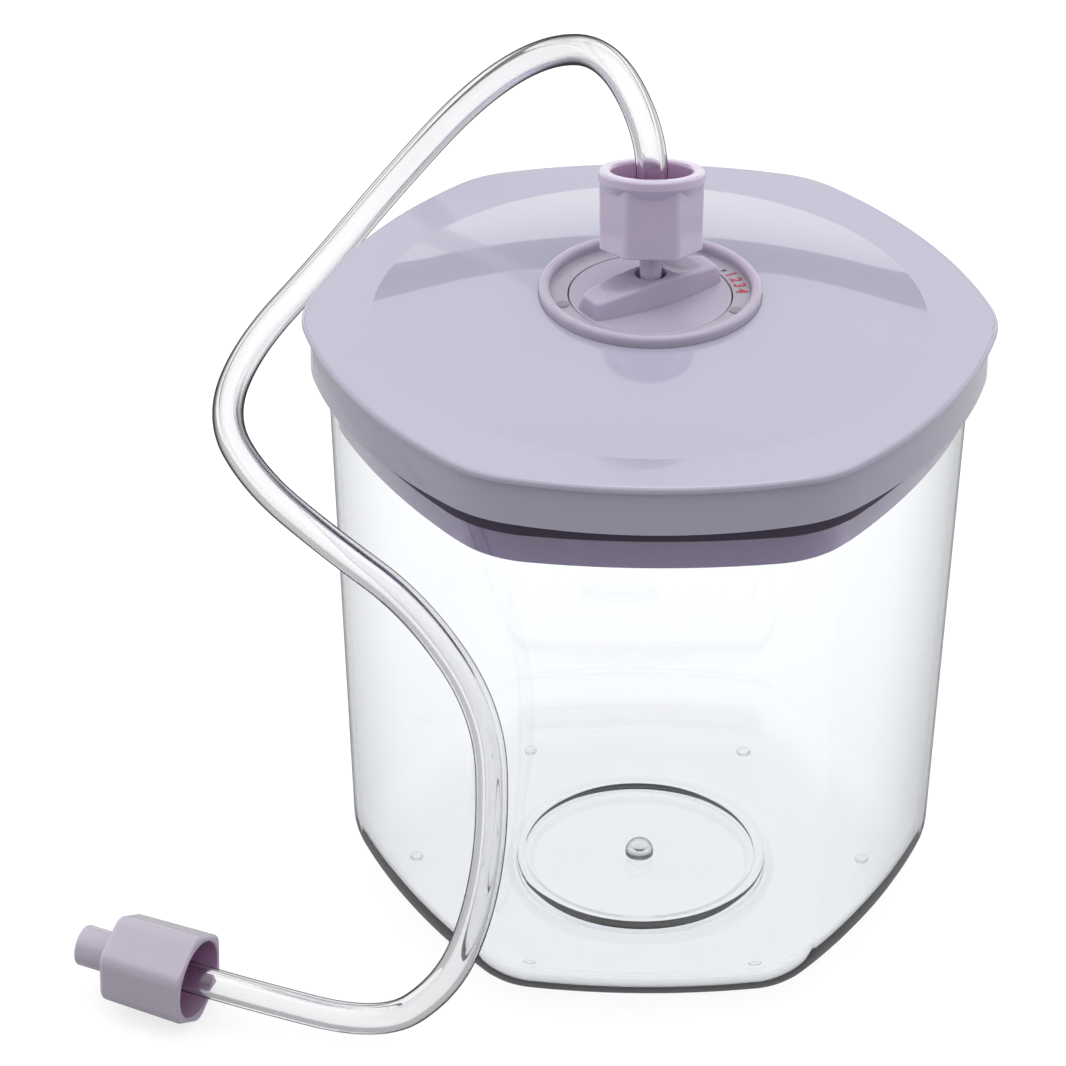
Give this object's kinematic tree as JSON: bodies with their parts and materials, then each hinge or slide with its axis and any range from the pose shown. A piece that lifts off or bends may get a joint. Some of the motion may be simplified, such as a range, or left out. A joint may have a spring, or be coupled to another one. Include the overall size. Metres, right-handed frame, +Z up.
{
  "type": "vacuum seal canister",
  "caption": "Clear six-sided food canister with a domed lid, a turning seal knob with a cam valve, and a clear suction hose with hexagonal end fittings.",
  "frame": {"origin": "on the table under the middle of the tank, at the plane of its six feet", "axes": "+Z up; +Y away from the viewer; corners of the six-sided tank lie on X"},
  "size_m": [0.2047, 0.1571, 0.1997],
  "materials": {
    "clear_plastic": "clear glossy moulded plastic with a faint cool tint",
    "lilac_plastic": "pale lilac glossy moulded plastic",
    "violet_plastic": "deeper lilac moulded plastic",
    "gasket_silicone": "dark plum silicone, satin",
    "pink_lilac_plastic": "pinkish lilac satin moulded plastic",
    "grey_plastic": "mid grey plastic",
    "seal_silicone": "dark silicone",
    "white_plastic": "natural white plastic",
    "steel_pin": "plain stainless steel",
    "fitting_plastic": "mauve satin moulded plastic",
    "clear_vinyl": "clear flexible vinyl"
  },
  "bodies": {
    "tank": {"tank": "clear_plastic"},
    "lid": {"lid_cover": "lilac_plastic", "lid_plug": "violet_plastic", "lid_gasket": "gasket_silicone", "dial_ring": "pink_lilac_plastic", "position_dots": "grey_plastic", "valve_body": "white_plastic", "valve_guard": "white_plastic"},
    "knob": {"knob": "pink_lilac_plastic", "knob_ring_seal": "seal_silicone", "knob_clip": "white_plastic", "port_grommet": "seal_silicone"},
    "plunger": {"valve_plunger": "white_plastic", "plunger_pin": "steel_pin", "plunger_seal": "seal_silicone"},
    "hose_line": {"hose_adapter": "fitting_plastic", "hose": "clear_vinyl", "pump_adapter": "fitting_plastic"}
  },
  "joints": [
    {"name": "lid_lift", "type": "slide", "parent": "tank", "child": "lid", "axis": [0, 0, 1], "range_m": [0, 0.03]},
    {"name": "knob_turn", "type": "hinge", "parent": "lid", "child": "knob", "pos_m": [0, 0, 0.15], "axis": [0, 0, 1], "range_deg": [-55, 0]},
    {"name": "plunger_lift", "type": "slide", "parent": "lid", "child": "plunger", "axis": [0, 0, 1], "range_m": [0, 0.002]},
    {"name": "hose_pull", "type": "slide", "parent": "lid", "child": "hose_line", "axis": [0, 0.2425, 0.9701], "range_m": [0, 0.006]}
  ],
  "couplings": [
    {"joint": "plunger_lift", "follows": "knob_turn", "m_per_rad": -0.0020834}
  ]
}
